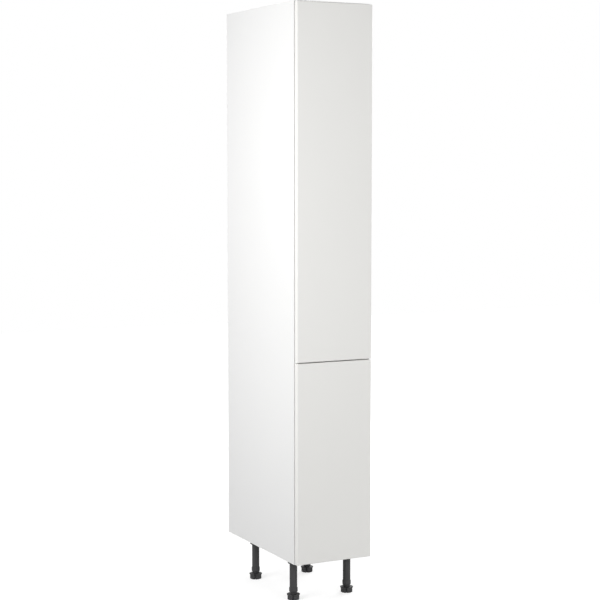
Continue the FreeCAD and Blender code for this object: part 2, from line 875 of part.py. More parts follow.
def tray_carrier():
    """The slotted carrier on a post's face, whose lip the tray's hanger hooks over."""
    body = new_body("carrier")
    low = "hanger_height - carrier_slot_depth - carrier_floor"
    floor_top = "hanger_height - carrier_slot_depth"
    slot_end = "carrier_plate + carrier_slot"
    profile = polygon(
        ("0", low),
        ("carrier_depth", low),
        ("carrier_depth", "hanger_height"),
        (slot_end, "hanger_height"),
        (slot_end, floor_top),
        ("carrier_plate", floor_top),
        ("carrier_plate", "hanger_height + carrier_plate_rise"),
        ("0", "hanger_height + carrier_plate_rise"),
    )
    pad(body, "YZ", "-frame_half", "frame_half", profile)
    return body


def trays():
    pieces = {"rail": tray_rail(), "base": tray_base(), "mat": tray_mat()}
    carrier = tray_carrier()
    carriers = []
    for level in range(TRAY_LEVELS):
        z = f"lowest_tray_z + {level} * tray_pitch"
        for name, piece in pieces.items():
            node(placed(piece, "0", "tray_y", z), f"tray_{name}_{level + 1}")
        carriers.append(placed(carrier, "0", "front_post_rear", z))
        carriers.append(placed(carrier, "0", "rear_post_front", z, turn=180))
    return group("tray_carriers", carriers)


def build():
    fill_sheet()
    for name, side in SIDES.items():
        side_panel(name, side)
    cross_panel("top_panel", "ceiling", "carcass_top", "ceiling - cut_overrun", "ceiling + groove_depth")
    cross_panel("base_panel", "leg_height", "base_top", "base_top - groove_depth", "base_top + cut_overrun")
    back_panel()
    back_rail("back_rail_top", "top_rail_z", True)
    back_rail("back_rail_middle", "middle_rail_z", False)
    back_rail("back_rail_bottom", "bottom_rail_z", False)
    edge_banding()
    wooden_dowels()
    legs()
    door("lower_door", "lower_door_bottom", "lower_door_top")
    door("upper_door", "upper_door_bottom", "upper_door_top")
    door_buffers()
    post("front_post", "front_post_front", "front_post_rear")
    post("rear_post", "rear_post_front", "rear_post_rear")
    beam("bottom_beam", "front_post_rear", "rear_post_front", "runner_bottom", "bottom_beam_top")
    beam("top_beam", "front_post_front", "rear_post_rear", "top_beam_bottom", "top_beam_top")
    bracket = door_bracket()
    door_brackets("door_brackets_lower", bracket, "lower_door_bottom", "lower_door_top", LOWER_BRACKETS)
    door_brackets("door_brackets_upper", bracket, "upper_door_bottom", "upper_door_top", UPPER_BRACKETS)
    for name, side in SIDES.items():
        runner_angle(name, side)
        lower_runner(name, side)
    top_guide_rail()
    guide_roller("guide_roller_front", "front_roller_y")
    guide_roller("guide_roller_rear", "rear_roller_y")
    group("roller_axles", [roller_axle("front_roller_y"), roller_axle("rear_roller_y")])
    trays()
    doc.recompute()


def check():
    """Stop if any object has failed, or any sub-part has no sound shape."""
    for thing in doc.Objects:
        if {"Invalid", "Error"} & set(thing.State):
            raise RuntimeError(f"{thing.Label} failed: {thing.State}")
    for thing in nodes:
        if thing.Shape.isNull() or not thing.Shape.isValid() or not thing.Shape.Solids:
            raise RuntimeError(f"{thing.Label} has no sound shape")


def write():
    os.makedirs("parts", exist_ok=True)
    for thing in nodes:
        thing.Shape.exportStep(f"parts/{thing.Label}.step")
    print(f"{len(nodes)} nodes written")


build()
check()
write()
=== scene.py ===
"""Finishes and fine pieces of a tall pull-out larder unit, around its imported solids."""

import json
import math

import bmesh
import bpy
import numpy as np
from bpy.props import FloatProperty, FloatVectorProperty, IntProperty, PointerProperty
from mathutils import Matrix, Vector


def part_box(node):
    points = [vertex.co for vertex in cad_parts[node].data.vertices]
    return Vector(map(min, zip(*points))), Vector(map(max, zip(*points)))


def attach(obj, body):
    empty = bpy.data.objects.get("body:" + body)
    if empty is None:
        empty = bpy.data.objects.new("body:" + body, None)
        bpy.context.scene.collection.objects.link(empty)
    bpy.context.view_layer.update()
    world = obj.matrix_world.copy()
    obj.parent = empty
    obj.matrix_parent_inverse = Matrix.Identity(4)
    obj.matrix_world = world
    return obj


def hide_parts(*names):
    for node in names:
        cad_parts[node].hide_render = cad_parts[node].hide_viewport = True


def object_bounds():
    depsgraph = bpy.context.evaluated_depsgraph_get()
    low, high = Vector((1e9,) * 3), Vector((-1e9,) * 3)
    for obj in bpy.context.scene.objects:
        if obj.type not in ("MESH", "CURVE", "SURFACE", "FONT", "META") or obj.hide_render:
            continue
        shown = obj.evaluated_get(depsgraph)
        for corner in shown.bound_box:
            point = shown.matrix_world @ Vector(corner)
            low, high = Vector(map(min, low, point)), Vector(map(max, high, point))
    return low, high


bl_info = {
    "name": "Larder unit",
    "version": (1, 0, 0),
    "blender": (4, 5, 0),
    "location": "View3D > Sidebar > Larder",
    "description": "Finishes and fine pieces of a tall pull-out larder unit",
    "category": "Object",
}

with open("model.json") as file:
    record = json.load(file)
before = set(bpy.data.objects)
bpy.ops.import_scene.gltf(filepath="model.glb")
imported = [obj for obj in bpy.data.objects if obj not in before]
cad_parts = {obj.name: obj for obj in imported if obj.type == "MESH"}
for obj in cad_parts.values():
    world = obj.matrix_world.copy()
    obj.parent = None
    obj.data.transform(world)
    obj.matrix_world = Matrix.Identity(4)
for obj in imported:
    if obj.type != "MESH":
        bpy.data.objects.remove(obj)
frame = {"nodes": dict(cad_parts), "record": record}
CAD_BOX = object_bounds()
MM = 0.001
TAU = 2 * math.pi
SIDES = {"left": -1, "right": 1}
ROWS = ("front", "rear")


# Sizes, colours and light


def length(name, description, millimetres):
    """A length property, whose default is given in millimetres."""
    return FloatProperty(name=name, description=description, default=millimetres * MM, unit="LENGTH")


def share(name, description, default):
    """A property that is a share of another size, from 0 to 1."""
    return FloatProperty(
        name=name, description=description, default=default, min=0, max=1, subtype="FACTOR"
    )


def number(name, description, default):
    """A property that counts."""
    return IntProperty(name=name, description=description, default=default, min=1)


def power(name, description, watts):
    """A property for the power of a lamp."""
    return FloatProperty(name=name, description=description, default=watts, unit="POWER")


def colour(name, description, red, green, blue):
    """A colour property in linear light."""
    return FloatVectorProperty(
        name=name, description=description, subtype="COLOR", size=3, default=(red, green, blue)
    )


class LarderLegSizes(bpy.types.PropertyGroup):
    """The legs' sizes that the boxes of their solids don't give."""

    foot_height: length("Foot height", "Height of the lobed foot", 20)
    foot_radius: length("Foot radius", "Radius of the foot under its flare", 21.4)
    rim_height: length("Rim height", "Height of the foot's rim", 2.5)
    flare_height: length("Flare height", "Height over which the foot widens to its rim", 2.5)
    lobes: number("Lobes", "Lobes round the foot", 6)
    notch_depth: share("Notch depth", "Depth of a notch between two lobes, of the radius", 0.2)
    notch_width: share("Notch width", "Half of a notch's width, of the way from lobe to lobe", 1 / 7)
    spindle_radius: length("Spindle radius", "Radius over the spindle's thread", 10.2)
    thread_depth: length("Thread depth", "Depth of the spindle's thread", 0.8)
    thread_pitch: length("Thread pitch", "Rise of the thread in one turn", 4)
    tube_radius: length("Tube radius", "Radius over the tube's crests", 14.2)
    flutes: number("Flutes", "Flutes round the tube", 8)
    flute_depth: length("Flute depth", "Depth of the tube's flutes", 0.8)
    bore_radius: length("Bore radius", "Radius of the tube's bore", 10.5)
    neck_height: length("Neck height", "Height of the neck at the tube's lower end", 5.5)
    neck_radius: length("Neck radius", "Radius of the neck at its corners", 13.2)
    collar_height: length("Collar height", "Height of the collar over the neck", 16.5)
    collar_taper: length("Collar taper", "Height of the collar's tapered lower end", 2)
    collar_sides: number("Collar sides", "Sides round the neck and the collar", 12)
    socket_radius: length("Socket radius", "Outer radius of the socket's cup", 20.5)
    socket_play: length("Socket play", "Play of the tube in its socket", 0.2)
    plate_thickness: length("Plate thickness", "Thickness of the socket's plate", 3)
    plate_radius: length("Plate radius", "Radius of the socket's plate at its corners", 31)
    plate_sides: number("Plate sides", "Sides round the socket's plate", 8)
    rounding: length("Rounding", "Rounding of the moulded edges", 0.6)


class LarderCageSizes(bpy.types.PropertyGroup):
    """Sizes of the ball cages in the runners."""

    ball_radius: length("Ball radius", "Radius of the balls", 1.3)
    ball_pitch: length("Ball pitch", "Least distance between the middles of two balls", 10)
    sheet: length("Sheet", "Thickness of the pressed cage", 0.4)


class LarderRollerSizes(bpy.types.PropertyGroup):
    """Sizes of the guide rollers. The shares of hub and rim count from the bore to the outside."""

    hub: share("Hub", "Outside of the hub", 0.3)
    rim: share("Rim", "Inside of the rim", 0.75)
    dish: share("Dish", "Depth of the dished web, of half the roller's height", 0.3)
    ribs: number("Ribs", "Ribs on each side of the web", 6)
    rib_height: share("Rib height", "Height of the ribs, of the dish", 0.6)
    rounding: length("Rounding", "Rounding of the roller's edges", 0.5)


class LarderMatSizes(bpy.types.PropertyGroup):
    """Sizes of the ribbed mats."""

    rib_pitch: length("Rib pitch", "Distance between two ribs", 5)
    rib_depth: length("Rib depth", "Depth of the grooves between the ribs", 0.7)
    corner: length("Corner", "Length that the corners are cut off by", 20)


class LarderScrewSizes(bpy.types.PropertyGroup):
    """The screws' heads, and where they sit on the sheet metal and the carriers."""

    radius: length("Radius", "Radius of a head", 3.6)
    pan_height: length("Pan height", "Height of a pan head", 2)
    flush_height: length("Flush height", "Height of a flat head over its plate", 0.4)
    dome: share("Dome", "Fall of the head from its middle to its edge, of its height", 0.45)
    recess_width: length("Recess width", "Width of the cross recess", 1.1)
    recess_reach: share("Recess reach", "Reach of the cross recess, of the radius", 0.57)
    recess_depth: share("Recess depth", "Depth of the cross recess, of the head's height", 0.5)
    sheet: length("Sheet", "Thickness of angles, guide, brackets and carrier plates", 2)
    angle_across: share("Across an angle", "Place of the screws, from its outer edge to its inner", 0.42)
    bracket_height: length("Bracket height", "Height of a door bracket", 60)
    bracket_inset: length("Bracket inset", "Distance from a bracket's edges to its screws", 12)
    ear_shift: length("Ear shift", "Distance of an ear's screws behind the middle of the ear", 1)
    carrier_across: length("Across a carrier", "Distance of the screws from a carrier's middle", 9)
    carrier_rise: length("Carrier rise", "Height of the screws over the tray board's underside", 11.5)


class LarderColours(bpy.types.PropertyGroup):
    """The unit's colours."""

    white: colour("White", "Melamine of the carcass boards", 0.90, 0.90, 0.895)
    front: colour("Front", "Warm white of the fronts", 0.885, 0.88, 0.855)
    chip_light: colour("Light chips", "Pale chips in the boards' core", 0.62, 0.47, 0.30)
    chip_dark: colour("Dark chips", "Dark chips in the boards' core", 0.33, 0.22, 0.12)
    plastic: colour("Plastic", "Charcoal plastic of the legs", 0.052, 0.052, 0.054)
    zinc: colour("Zinc", "Zinc plate of runners, brackets and screws", 0.66, 0.67, 0.68)
    steel: colour("Steel", "Powder coat of the frame", 0.55, 0.56, 0.57)
    chrome: colour("Chrome", "Chrome of the tray galleries", 0.80, 0.81, 0.82)
    mat: colour("Mat", "Ribbed mats", 0.10, 0.105, 0.11)
    nylon: colour("Nylon", "Rollers", 0.82, 0.82, 0.78)
    carrier: colour("Carrier", "Moulded tray carriers", 0.30, 0.31, 0.32)
    beech: colour("Beech", "Dowels", 0.60, 0.42, 0.24)
    rubber: colour("Rubber", "Soft pads behind the fronts", 0.78, 0.78, 0.75)


class LarderLight(bpy.types.PropertyGroup):
    """The studio."""

    key_power: power("Key", "Power of the lamp at the left", 35)
    fill_power: power("Fill", "Power of the lamp in front", 76.5)
    back_power: power("Back", "Power of the lamp behind, at the right", 118)
    ambient: FloatProperty(name="Ambient", description="Light from all round", default=0.32, min=0)
    floor_glow: share("Floor glow", "White that the camera sees on top of the near floor's own", 0.70)


def settings(group):
    """A group of sizes, colours or light, as the scene keeps it."""
    return getattr(bpy.context.scene, f"larder_{group}")


# Shader maths and finishes


class Term:
    """A shader value. Python's operators on it add Math nodes to its graph."""

    def __init__(self, graph, socket):
        self.graph = graph
        self.socket = socket

    def maths(self, operation, *values):
        """The result of one Math node on these values."""
        return self.graph.add("ShaderNodeMath", {"operation": operation}, dict(enumerate(values)))

    def __add__(self, other):
        return self.maths("ADD", self, other)

    def __radd__(self, other):
        return self.maths("ADD", other, self)

    def __sub__(self, other):
        return self.maths("SUBTRACT", self, other)

    def __rsub__(self, other):
        return self.maths("SUBTRACT", other, self)

    def __mul__(self, other):
        return self.maths("MULTIPLY", self, other)

    def __rmul__(self, other):
        return self.maths("MULTIPLY", other, self)

    def __abs__(self):
        return self.maths("ABSOLUTE", self)

    def __gt__(self, other):
        return self.maths("GREATER_THAN", self, other)


class Graph:
    """A tree of shader nodes."""

    def __init__(self, tree):
        self.tree = tree

    def add(self, kind, choices, values, output=0):
        """Add a node: its settings first, then the values or links of its sockets. Returns one output."""
        made = self.tree.nodes.new(kind)
        for name, choice in choices.items():
            setattr(made, name, choice)
        for socket, given in values.items():
            if isinstance(given, Term):
                self.tree.links.new(given.socket, made.inputs[socket])
            else:
                made.inputs[socket].default_value = given
        return Term(self, made.outputs[output])

    def seen_directly(self):
        """One where a ray comes from the camera, a reflection or glass, and zero elsewhere."""
        kinds = ("Is Camera Ray", "Is Glossy Ray", "Is Transmission Ray")
        camera, glossy, glass = (self.add("ShaderNodeLightPath", {}, {}, kind) for kind in kinds)
        return camera.maths("MAXIMUM", camera.maths("MAXIMUM", camera, glossy), glass)


class Finish(Graph):
    """A node material around one Principled shader, whose constants stand on its own sockets."""

    def __init__(self, name, base, roughness, **constants):
        self.material = bpy.data.materials.new(name)
        self.material.use_nodes = True
        super().__init__(self.material.node_tree)
        self.shader = self.tree.nodes["Principled BSDF"]
        self.base = tuple(base)
        constants = {"Base Color": (*self.base, 1), "Roughness": roughness, **constants}
        for socket, constant in constants.items():
            self.shader.inputs[socket].default_value = constant
        self.place = self.add("ShaderNodeTexCoord", {}, {}, "Object")

    def stretched(self, x, y, z):
        """Object coordinates with each axis scaled."""
        return self.add("ShaderNodeMapping", {}, {"Vector": self.place, "Scale": (x, y, z)})

    def noise(self, scale, detail=2, place=None):
        """Soft noise between 0 and 1, with about this many features in a metre."""
        values = {"Vector": place or self.place, "Scale": scale, "Detail": detail}
        return self.add("ShaderNodeTexNoise", {}, values, "Fac")

    def axis(self, letter):
        """One of the object coordinates."""
        return self.add("ShaderNodeSeparateXYZ", {}, {0: self.place}, letter)

    def mix(self, factor, first, second):
        """A colour between two others."""
        shades = [shade if isinstance(shade, Term) else (*shade, 1) for shade in (first, second)]
        values = {"Factor": factor, 6: shades[0], 7: shades[1]}
        return self.add("ShaderNodeMix", {"data_type": "RGBA"}, values, 2)

    def varied(self, factor, spread):
        """The finish's own colour, darkened by up to this share where the factor is low."""
        return self.mix(factor, [part * (1 - spread) for part in self.base], self.base)

    def bump(self, height, distance, strength):
        """A normal that leans with a relief of this height, over a distance in metres."""
        values = {"Height": height, "Distance": distance, "Strength": strength}
        return self.add("ShaderNodeBump", {}, values)

    def feed(self, **links):
        """Link terms to the shader's sockets: Base_Color stands for Base Color."""
        for name, term in links.items():
            self.tree.links.new(term.socket, self.shader.inputs[name.replace("_", " ")])
        return self.material


def swing(noise, spread):
    """Noise as a swing about zero, over this spread."""
    return spread * (noise - 0.5)


def plain_board(name, base, roughness, grain):
    """A matt or satin coating with a fine pearl texture."""
    finish = Finish(name, base, roughness)
    pearl = finish.noise(scale=grain, detail=3)
    cloud = finish.noise(scale=3)
    return finish.feed(
        Base_Color=finish.varied(cloud, spread=0.02),
        Roughness=roughness + swing(pearl, 0.08),
        Normal=finish.bump(pearl, distance=0.04 * MM, strength=0.5),
    )


def faced_board(name, node, letter):
    """White melamine on a board's two faces across one axis, and its chipboard core on every cut edge."""
    colours = settings("colours")
    face_roughness, core_roughness = 0.4, 0.85
    face_relief = 0.1
    skin = 0.1 * MM
    finish = Finish(name, colours.white, face_roughness)
    axis = "XYZ".index(letter)
    low, high = (corner[axis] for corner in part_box(node))
    facing = abs(finish.axis(letter) - (low + high) / 2) > (high - low) / 2 - skin
    chips = finish.add("ShaderNodeTexVoronoi", {}, {"Vector": finish.place, "Scale": 420}, "Color")
    core = finish.mix(chips, colours.chip_dark, colours.chip_light)
    pearl = finish.noise(scale=1600, detail=3)
    crumbs = finish.noise(scale=500, detail=4)
    cloud = finish.noise(scale=3)
    smoothing = core_roughness - face_roughness
    relief = pearl * facing * face_relief + crumbs * (1 - facing)
    return finish.feed(
        Base_Color=finish.mix(facing, core, finish.varied(cloud, spread=0.02)),
        Roughness=core_roughness - smoothing * facing + swing(pearl, 0.06),
        Normal=finish.bump(relief, distance=0.3 * MM, strength=0.5),
    )


def moulded(name, base, roughness, **constants):
    """Moulded plastic, with a spark-eroded surface and soft flow marks."""
    finish = Finish(name, base, roughness, **constants)
    erosion = finish.noise(scale=2600, detail=3)
    flow = finish.noise(scale=60, place=finish.stretched(1, 1, 0.3))
    return finish.feed(
        Base_Color=finish.varied(flow, spread=0.18),
        Roughness=roughness + swing(flow, 0.16),
        Normal=finish.bump(erosion, distance=0.06 * MM, strength=0.6),
    )


def plated(name, base, roughness, drawn):
    """Plated steel, with faint marks drawn along the axis that is scaled down."""
    finish = Finish(name, base, roughness, Metallic=1)
    marks = finish.noise(scale=700, detail=3, place=finish.stretched(*drawn))
    bloom = finish.noise(scale=45, detail=3)
    return finish.feed(
        Base_Color=finish.varied(bloom, spread=0.12),
        Roughness=roughness + swing(marks, 0.14) + swing(bloom, 0.1),
        Normal=finish.bump(marks, distance=0.01 * MM, strength=0.4),
    )


def zinc_plate():
    """The zinc plate that runners, brackets and screws share, with marks drawn along Y."""
    shared = bpy.data.materials.get("zinc_plate")
    return shared or plated("zinc_plate", settings("colours").zinc, roughness=0.3, drawn=(1, 0.04, 1))


def powder_coat(name, base):
    """Powder coat, with its fine orange peel."""
    roughness = 0.42
    finish = Finish(name, base, roughness, Metallic=0.25)
    peel = finish.noise(scale=620, detail=1)
    cloud = finish.noise(scale=9)
    return finish.feed(
        Base_Color=finish.varied(cloud, spread=0.04),
        Roughness=roughness + swing(peel, 0.08),
        Normal=finish.bump(peel, distance=0.08 * MM, strength=0.5),
    )


def dusty_rubber(name, base):
    """Dark rubber with a dry, fine-grained surface and a little dust."""
    roughness = 0.8
    finish = Finish(name, base, roughness)
    grain = finish.noise(scale=900, detail=3)
    dust = finish.noise(scale=14, detail=4)
    return finish.feed(
        Base_Color=finish.varied(dust, spread=0.25),
        Roughness=roughness + swing(grain, 0.14),
        Normal=finish.bump(grain, distance=0.08 * MM, strength=0.6),
    )


def grained_wood(name, base):
    """Straight-grained beech with short darker flecks along X."""
    roughness = 0.55
    finish = Finish(name, base, roughness)
    grain = finish.noise(scale=600, detail=4, place=finish.stretched(0.06, 1, 1))
    return finish.feed(
        Base_Color=finish.varied(grain, spread=0.4),
        Roughness=roughness + 0.15 * grain,
        Normal=finish.bump(grain, distance=0.05 * MM, strength=0.5),
    )


def dress(material, *nodes):
    """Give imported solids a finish."""
    for node in nodes:
        solid = frame["nodes"][node]
        solid.data.materials.clear()
        solid.data.materials.append(material)


# Surfaces


def rounded(corners, rounding):
    """A profile through corners, each cut back by the rounding and bridged with a quadratic curve:
    (1 - t) squared of its start, 2 t (1 - t) of the corner and t squared of its end."""
    steps = 4
    corners = np.array(corners, float)
    before, here, after = corners[:-2], corners[1:-1], corners[2:]

    def towards(target):
        run = target - here
        reach = np.linalg.norm(run, axis=1, keepdims=True)
        return here + run / reach * np.minimum(rounding, reach / 2)

    start, end = towards(before)[:, None], towards(after)[:, None]
    t = np.linspace(0, 1, steps + 1)[None, :, None]
    curve = (1 - t) ** 2 * start + 2 * t * (1 - t) * here[:, None] + t**2 * end
    return np.concatenate([corners[:1], curve.reshape(-1, 2), corners[-1:]])


def circle(r, z, a):
    """A shape for a turned surface: the profile's own radius all round."""
    return r + 0 * a


def polygon(sides, angle):
    """A regular polygon's radius over that of its corners: the cosine of half a side's angle, over the
    cosine of the angle from that side's middle."""
    side = TAU / sides
    return math.cos(side / 2) / np.cos(angle % side - side / 2)


def turned(profile, columns, shape=circle):
    """A profile of radius r and height z carried round Z: the point at angle a lies at the radius
    shape(r, z, a) and the height z."""
    angle = np.arange(columns)[None, :] * (TAU / columns)
    radius, height = profile[:, :1], profile[:, 1:]
    reach = shape(radius, height, angle)
    points = np.stack([reach * np.cos(angle), reach * np.sin(angle), height + 0 * angle], -1)
    return points.reshape(-1, 3), grid_faces(len(profile), columns)


def grid_faces(rows, columns):
    """The quads of a grid that is closed round its columns."""
    row = np.arange(rows - 1)[:, None] * columns
    column = np.arange(columns)[None, :]
    after = (column + 1) % columns
    quads = [row + column, row + after, row + columns + after, row + columns + column]
    return np.stack(quads, -1).reshape(-1, 4)


def extruded(section, low, high, caps):
    """A section of x and z, as a prism along Y between two places. The caps are the quads that fill it."""
    points = [(x, y, z) for y in (low, high) for x, z in section]
    caps = np.array(caps)
    faces = np.concatenate([grid_faces(2, len(section)), caps, caps + len(section)])
    return np.array(points, float), faces


def repeated(surface, moves, turn=np.eye(3)):
    """Copies of a surface, turned by one 3 x 3 matrix and moved to each of their places."""
    points, faces = surface
    moves = np.array(moves, float).reshape(-1, 3)
    placed = points @ turn.T + moves[:, None]
    numbered = faces + (np.arange(len(moves)) * len(points))[:, None, None]
    return placed.reshape(-1, 3), numbered.reshape(-1, 4)


def joined(*surfaces):
    """Several surfaces as one list of points and faces."""
    counts = np.cumsum([0] + [len(points) for points, _ in surfaces[:-1]])
    faces = [face + count for (_, face), count in zip(surfaces, counts)]
    return np.concatenate([points for points, _ in surfaces]), np.concatenate(faces)


def four_along(low, high, first, last):
    """Four places at even steps, from one share of the way between two ends to another."""
    return low + (high - low) * np.linspace(first, last, 4)


# Pieces and their places


def middle(node):
    """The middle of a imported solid's box."""
    low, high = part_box(node)
    return (low + high) / 2


def node_body(node):
    """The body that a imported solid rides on."""
    return next(body for body, nodes in frame["record"]["behaviour"]["bodies"].items() if node in nodes)


def added(name, data):
    """An object with this data, in the scene."""
    made = bpy.data.objects.new(name, data)
    bpy.context.scene.collection.objects.link(made)
    return made


def piece(name, surface, material, body, replaced=()):
    """Make a closed mesh of a surface, ride it on its body and hide the imported solids it stands for."""
    merge_distance, sharp_angle = 0.001 * MM, math.radians(40)
    points, faces = surface
    mesh = bpy.data.meshes.new(name)
    mesh.from_pydata(points.tolist(), [], faces.tolist())
    work = bmesh.new()
    work.from_mesh(mesh)
    bmesh.ops.remove_doubles(work, verts=work.verts, dist=merge_distance)
    bmesh.ops.recalc_face_normals(work, faces=work.faces)
    work.to_mesh(mesh)
    work.free()
    mesh.shade_smooth()
    mesh.set_sharp_from_angle(angle=sharp_angle)
    mesh.materials.append(material)
    made = added(name, mesh)
    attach(made, body)
    if replaced:
        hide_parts(*replaced)


# Operators


class LARDER_OT_carcass(bpy.types.Operator):
    """Finish the carcass boards, their edges, the back and the dowels"""

    bl_idname = "larder.carcass"
    bl_label = "Carcass"

    def execute(self, context):
        colours = settings("colours")
        across = {
            "X": ("side_panel_left", "side_panel_right"),
            "Z": ("top_panel", "base_panel"),
            "Y": ("back_rail_top", "back_rail_middle", "back_rail_bottom", "back_panel"),
        }
        for letter, boards in across.items():
            for board in boards:
                dress(faced_board(f"faced_{board}", board, letter), board)
        dress(plain_board("edge_tape", colours.white, roughness=0.42, grain=900), "edge_banding")
        dress(grained_wood("beech", colours.beech), "wooden_dowels")
        return {"FINISHED"}


class LARDER_OT_fronts(bpy.types.Operator):
    """Finish the two slab fronts and the soft pads behind them"""

    bl_idname = "larder.fronts"
    bl_label = "Fronts"

    def execute(self, context):
        colours = settings("colours")
        foil = plain_board("front_foil", colours.front, roughness=0.34, grain=1300)
        dress(foil, "lower_door", "upper_door")
        dress(moulded("soft_rubber", colours.rubber, roughness=0.35), "door_buffers")
        return {"FINISHED"}


class LARDER_OT_legs(bpy.types.Operator):
    """Make the four legs: sockets, fluted tubes, and lobed feet on threaded spindles"""

    bl_idname = "larder.legs"
    bl_label = "Legs"

    def foot(self, sizes, rim_radius, top):
        """The foot, and the spindle that stands in it. At a notch the foot's radius falls by a share,
        which eases out with the angle from the notch's middle as 3 t squared less 2 t cubed. The
        spindle's radius falls by a helix: the cosine of the height over the pitch, less the angle."""
        levels = 160
        flare_top = sizes.foot_height - sizes.rim_height
        corners = [
            (0, 0),
            (sizes.foot_radius, 0),
            (sizes.foot_radius, flare_top - sizes.flare_height),
            (rim_radius, flare_top),
            (rim_radius, sizes.foot_height),
            (sizes.spindle_radius, sizes.foot_height),
        ]
        heights = np.linspace(sizes.foot_height, top, levels)[1:]
        spindle = np.stack([np.full_like(heights, sizes.spindle_radius), heights], -1)
        profile = np.concatenate([rounded(corners, sizes.rounding), spindle, [(0, top)]])

        def shape(r, z, a):
            step = TAU / sizes.lobes
            off_notch = np.abs((a + step / 2) % step - step / 2)
            notch = np.clip(1 - off_notch / (step * sizes.notch_width), 0, 1)
            notch = notch * notch * (3 - 2 * notch)
            outside = np.clip((r - sizes.spindle_radius) / (sizes.foot_radius - sizes.spindle_radius), 0, 1)
            thread = 0.5 + 0.5 * np.cos(TAU * z / sizes.thread_pitch - a)
            threaded = (z > sizes.foot_height) & (r > 0)
            return r * (1 - sizes.notch_depth * notch * outside) - sizes.thread_depth * thread * threaded

        return turned(profile, columns=96, shape=shape)

    def tube(self, sizes, low, collar_radius, top):
        """A closed ring of profile: up the neck, the collar and the fluted outside, and down the bore.
        The flutes follow the cosine of the angle times their number. Neck and collar lie halfway
        between a circle and a polygon."""
        neck_top = low + sizes.neck_height
        collar_top = neck_top + sizes.collar_height
        corners = [
            (sizes.bore_radius, low + sizes.rounding),
            (sizes.bore_radius, low),
            (sizes.neck_radius, low),
            (sizes.neck_radius, neck_top),
            (collar_radius, neck_top + sizes.collar_taper),
            (collar_radius, collar_top),
            (sizes.tube_radius, collar_top),
            (sizes.tube_radius, top),
            (sizes.bore_radius, top),
            (sizes.bore_radius, low + sizes.rounding),
        ]

        def shape(r, z, a):
            outside = r > sizes.bore_radius
            flute = 0.5 - 0.5 * np.cos(sizes.flutes * a)
            fluted = outside & (z > collar_top)
            faceted = outside & (z <= collar_top)
            facet = (1 + polygon(sizes.collar_sides, a)) / 2
            return r * np.where(faceted, facet, 1) - sizes.flute_depth * flute * fluted

        return turned(rounded(corners, sizes.rounding), columns=96, shape=shape)

    def socket(self, sizes, low, top):
        """A cup on a plate, blind at the plate. From the cup to the plate's edge, the outline goes from
        a circle to a polygon."""
        plate = top - sizes.plate_thickness
        bore = sizes.tube_radius + sizes.socket_play
        corners = [
            (0, plate),
            (bore, plate),
            (bore, low),
            (sizes.socket_radius, low),
            (sizes.socket_radius, plate),
            (sizes.plate_radius, plate),
            (sizes.plate_radius, top),
            (0, top),
        ]

        def shape(r, z, a):
            outside = np.clip((r - sizes.socket_radius) / (sizes.plate_radius - sizes.socket_radius), 0, 1)
            return r * (1 + (polygon(sizes.plate_sides, a) - 1) * outside)

        return turned(rounded(corners, sizes.rounding), columns=96, shape=shape)

    def execute(self, context):
        sizes = settings("legs")
        dull = {"Specular IOR Level": 0.3}
        plastic = moulded("charcoal_plastic", settings("colours").plastic, roughness=0.52, **dull)
        floor_to_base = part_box("base_panel")[0].z
        socket_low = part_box("leg_sockets")[0].z
        socket = self.socket(sizes, socket_low, floor_to_base)
        places = []
        for row in ROWS:
            for name in SIDES:
                leg = f"{row}_{name}"
                foot_low, foot_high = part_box(f"leg_foot_{leg}")
                tube_low, tube_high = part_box(f"leg_tube_{leg}")
                rim_radius = (foot_high.y - foot_low.y) / 2
                collar_radius = (tube_high.x - tube_low.x) / 2
                axis = middle(f"leg_foot_{leg}")
                place = (axis.x, axis.y, 0)
                foot = repeated(self.foot(sizes, rim_radius, foot_high.z), place)
                tube = repeated(self.tube(sizes, tube_low.z, collar_radius, tube_high.z), place)
                piece(f"foot_{leg}", foot, plastic, f"foot_{leg}", [f"leg_foot_{leg}"])
                piece(f"tube_{leg}", tube, plastic, "carcass", [f"leg_tube_{leg}"])
                places.append(place)
        piece("sockets", repeated(socket, places), plastic, "carcass", ["leg_sockets"])
        return {"FINISHED"}


class LARDER_OT_frame(bpy.types.Operator):
    """Finish the pull-out frame and the brackets that hold the fronts"""

    bl_idname = "larder.frame"
    bl_label = "Pull-out frame"

    def execute(self, context):
        coat = powder_coat("powder_coat", settings("colours").steel)
        dress(coat, "front_post", "rear_post", "bottom_beam", "top_beam")
        dress(zinc_plate(), "door_brackets_lower", "door_brackets_upper")
        return {"FINISHED"}


